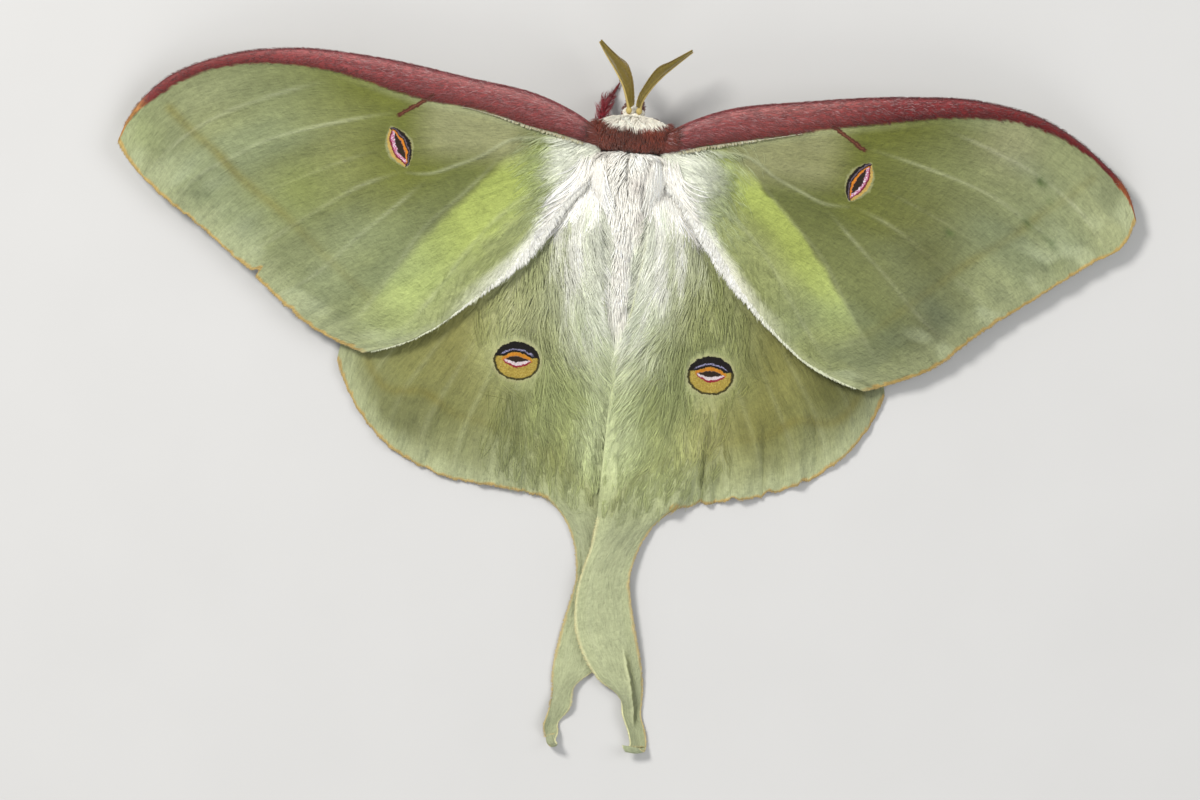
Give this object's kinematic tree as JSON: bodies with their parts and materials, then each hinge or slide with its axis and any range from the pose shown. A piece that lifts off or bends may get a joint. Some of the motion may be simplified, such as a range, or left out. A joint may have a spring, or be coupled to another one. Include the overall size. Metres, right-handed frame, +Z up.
{
  "type": "luna moth",
  "caption": "Life-size luna moth at rest with wings spread flat, long crossed hindwing tails, furry body, feathery feelers and folded legs standing on its feet.",
  "frame": {"origin": "middle of the moth's box in plan, on the floor that it rests on", "axes": "+X across the wings to the moth's right side as seen from above with the head away from the viewer, +Y towards the head, +Z up"},
  "size_m": [0.1058, 0.0734, 0.0098],
  "materials": {
    "wing_green": "pale green scaled wing, matt, faintly silky",
    "white_fur": "shaggy off-white fur",
    "maroon_fur": "short maroon velvet",
    "feeler_tan": "horny, tan with brown side branches",
    "eye_dark": "glossy, finely faceted"
  },
  "bodies": {
    "root": {"head": "white_fur", "collar": "maroon_fur", "thorax": "white_fur", "abdomen": "white_fur", "eye_left": "eye_dark", "eye_right": "eye_dark", "palp_left": "maroon_fur", "palp_right": "maroon_fur", "antenna_left": "feeler_tan", "antenna_right": "feeler_tan", "forewing_left": "wing_green", "forewing_right": "wing_green", "hindwing_left": "wing_green", "hindwing_right": "wing_green", "tail_left": "wing_green", "tail_right": "wing_green", "leg_fore_left": "maroon_fur", "leg_fore_right": "maroon_fur", "leg_mid_left": "maroon_fur", "leg_mid_right": "maroon_fur", "leg_hind_left": "maroon_fur", "leg_hind_right": "maroon_fur"}
  },
  "joints": []
}
